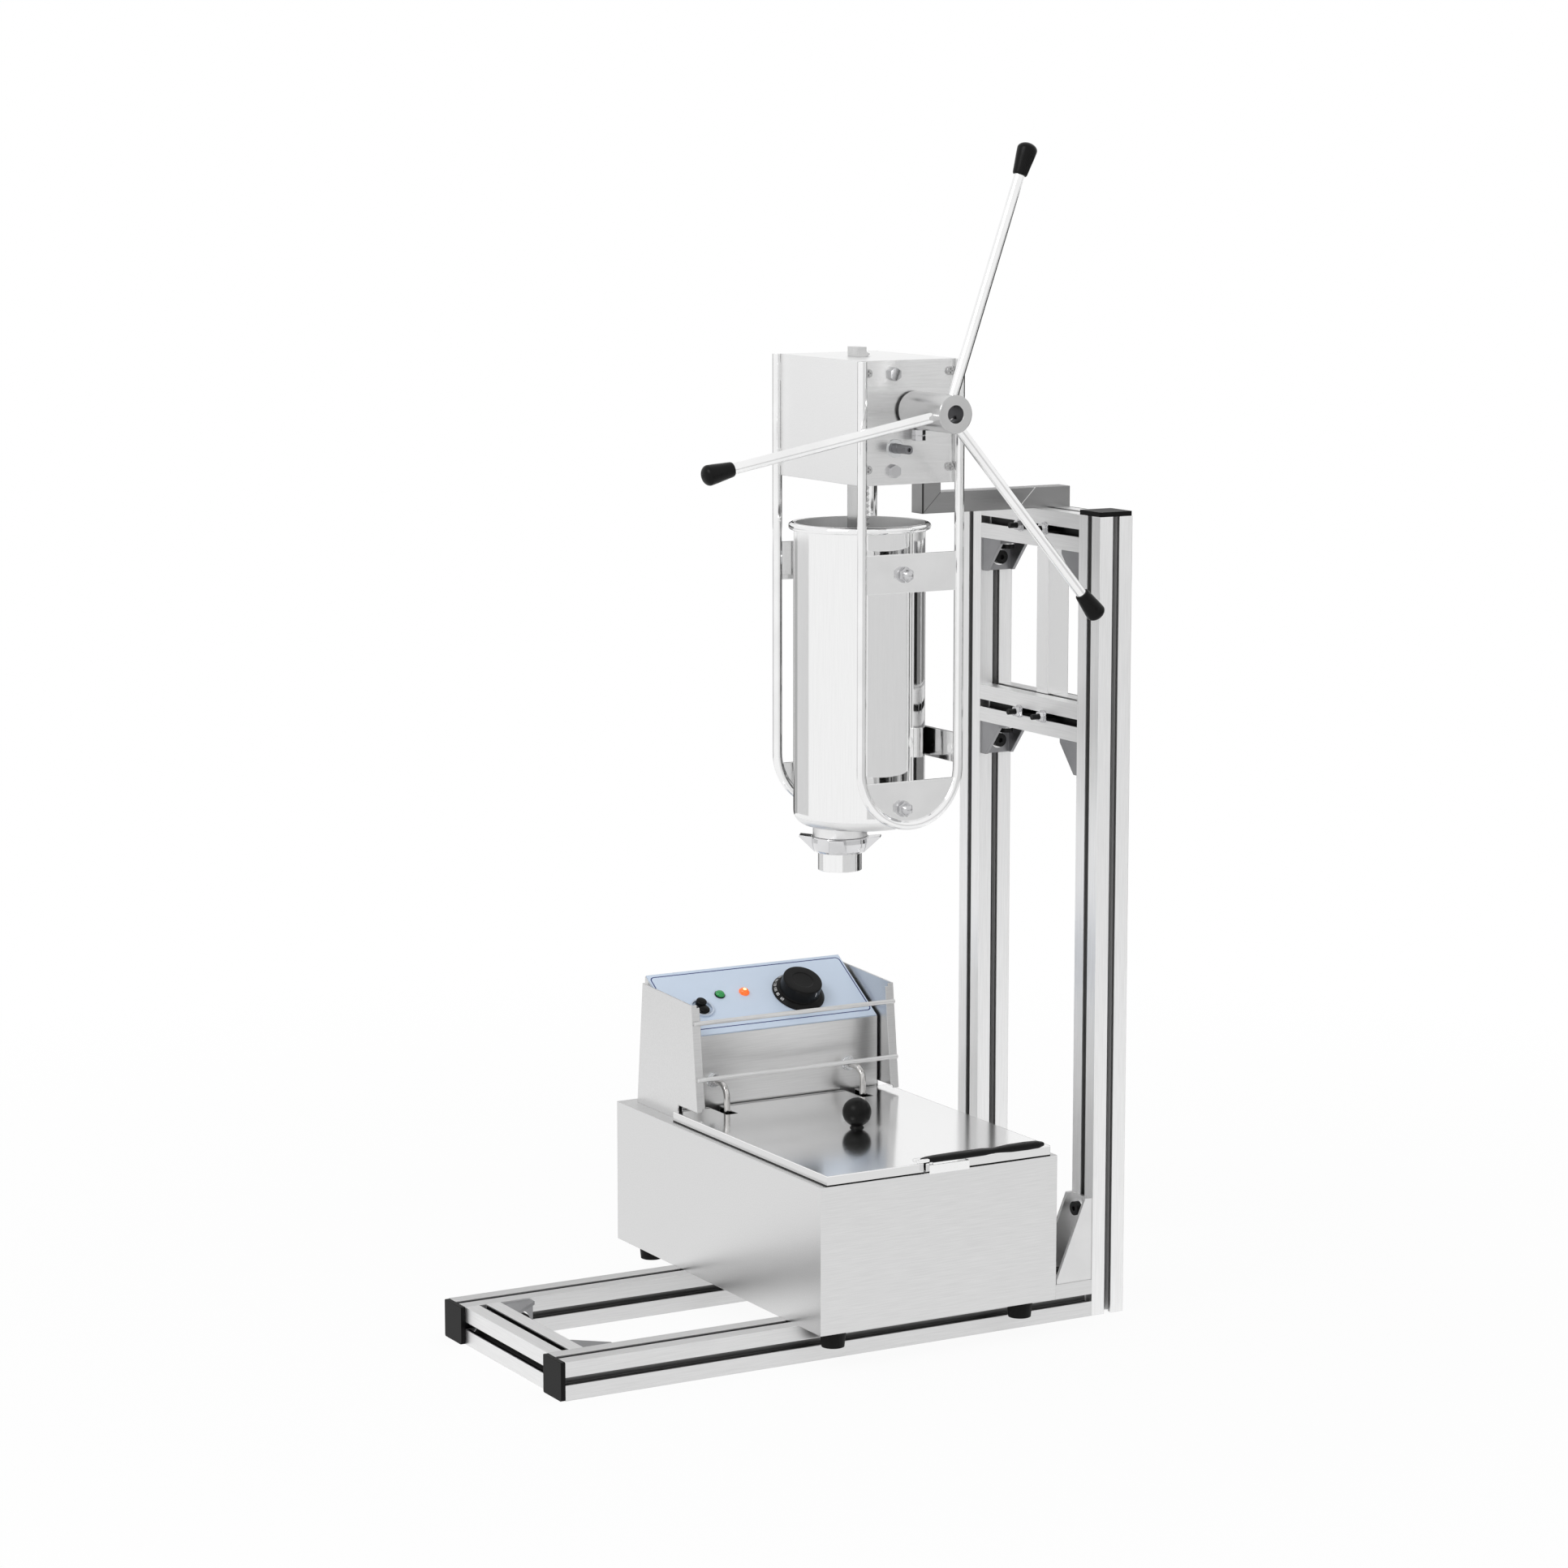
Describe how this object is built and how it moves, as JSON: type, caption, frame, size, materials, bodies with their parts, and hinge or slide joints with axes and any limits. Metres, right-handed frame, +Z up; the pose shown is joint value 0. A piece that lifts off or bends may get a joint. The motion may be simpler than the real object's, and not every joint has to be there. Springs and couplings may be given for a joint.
{
  "type": "churro maker",
  "caption": "Churro maker: slotted profile stand with a hand-driven rack press, steel barrel and star nozzle above a counter-top fryer with a tilted control head.",
  "frame": {"origin": "middle of the whole part's outline on the floor, under the stand between its rails", "axes": "+X across the stand towards the star wheel, +Y from the stand's open front to its uprights, +Z up"},
  "size_m": [0.46, 0.6822, 1.2422],
  "materials": {
    "aluminium_profile": "anodised satin",
    "cap_plastic": "fine grained",
    "die_cast": "cast, matt",
    "black_steel": "black oxide",
    "zinc_steel": "bright zinc",
    "arm_steel": "ground satin",
    "sheet_steel": "fine brushed",
    "rod_steel": "satin",
    "polished_steel": "polished",
    "cast_aluminium": "as cast",
    "gear_steel": "machined, greased",
    "white_seal": "smooth",
    "black_plastic": "satin gloss",
    "foot_rubber": "matt",
    "element_metal": "bright",
    "blue_panel": "printed, smooth",
    "green_lens": "clear lens",
    "orange_lens": "clear lens, lit"
  },
  "bodies": {
    "stand": {"rail_right": "aluminium_profile", "rail_left": "aluminium_profile", "front_beam": "aluminium_profile", "upright_right": "aluminium_profile", "upright_left": "aluminium_profile", "upper_cross_beam": "aluminium_profile", "lower_cross_beam": "aluminium_profile", "end_caps": "cap_plastic", "corner_brackets": "die_cast", "foot_brackets": "die_cast", "bracket_bolts": "black_steel", "bracket_washers": "zinc_steel", "slot_nuts": "zinc_steel", "support_arm": "arm_steel", "arm_bolts": "zinc_steel", "clamp_nuts": "zinc_steel", "gearbox_shell": "sheet_steel", "gearbox_right_plate": "sheet_steel", "gearbox_left_plate": "sheet_steel", "plate_screws": "zinc_steel", "rack_guide": "gear_steel", "tie_bolts": "zinc_steel", "shaft_bushes": "zinc_steel", "side_frame_right": "rod_steel", "side_frame_left": "rod_steel", "rear_band": "rod_steel", "barrel": "polished_steel", "barrel_studs": "zinc_steel", "cap_nuts": "zinc_steel", "fryer_case": "sheet_steel", "fryer_tank": "polished_steel", "fryer_feet": "foot_rubber", "lid": "polished_steel", "lid_knob": "black_plastic", "basket": "rod_steel", "heating_element": "element_metal", "element_nuts": "zinc_steel", "control_head": "sheet_steel", "guard_plates": "sheet_steel", "control_panel": "blue_panel", "switch_ring": "black_plastic", "green_lamp": "green_lens", "orange_lamp": "orange_lens"},
    "wheel": {"main_shaft": "gear_steel", "main_gear": "gear_steel", "spoke_hub": "rod_steel", "spokes": "rod_steel", "spoke_grips": "black_plastic", "hub_lock_bolt": "zinc_steel"},
    "ram": {"rack": "gear_steel", "piston": "polished_steel", "piston_seal": "white_seal", "piston_nut": "zinc_steel"},
    "slow_drive": {"slow_shaft": "gear_steel"},
    "nozzle_set": {"nozzle": "polished_steel", "gasket": "white_seal"},
    "wing": {"wing_nut": "cast_aluminium"},
    "knob": {"thermostat_knob": "black_plastic"},
    "rocker": {"power_switch": "black_plastic"},
    "handle": {"basket_handle": "black_plastic"}
  },
  "joints": [
    {"name": "wheel_turn", "type": "hinge", "parent": "stand", "child": "wheel", "pos_m": [0.036, 0.0959, 0.97], "axis": [-1, 0, 0], "range_deg": [0, 1810]},
    {"name": "ram_lift", "type": "slide", "parent": "stand", "child": "ram", "axis": [0, 0, 1], "range_m": [0, 0.316]},
    {"name": "slow_turn", "type": "hinge", "parent": "stand", "child": "slow_drive", "pos_m": [0.036, 0.0749, 0.93133], "axis": [-1, 0, 0], "range_deg": [-6160, 0]},
    {"name": "nozzle_drop", "type": "slide", "parent": "stand", "child": "nozzle_set", "axis": [0, 0, -1], "range_m": [0, 0.0095]},
    {"name": "nut_turn", "type": "hinge", "parent": "nozzle_set", "child": "wing", "pos_m": [0.036, 0.0589, 0.509], "axis": [0, 0, -1], "range_deg": [0, 1145]},
    {"name": "thermostat_turn", "type": "hinge", "parent": "stand", "child": "knob", "pos_m": [-0.1538, 0.1179, 0.31364], "axis": [0.5318, 0, 0.8469], "range_deg": [-270, 0]},
    {"name": "switch_rock", "type": "hinge", "parent": "stand", "child": "rocker", "pos_m": [-0.14872, -0.0061, 0.30856], "axis": [0, 1, 0], "range_deg": [-13, 0]},
    {"name": "handle_swing", "type": "hinge", "parent": "stand", "child": "handle", "pos_m": [0.223, 0.0584, 0.211], "axis": [0, 0, 1], "range_deg": [-90, 0]}
  ],
  "couplings": [
    {"joint": "ram_lift", "follows": "wheel_turn", "m_per_rad": 0.01},
    {"joint": "slow_turn", "follows": "wheel_turn", "ratio": -3.4},
    {"joint": "nut_turn", "follows": "nozzle_drop", "rad_per_m": 2094.4}
  ]
}
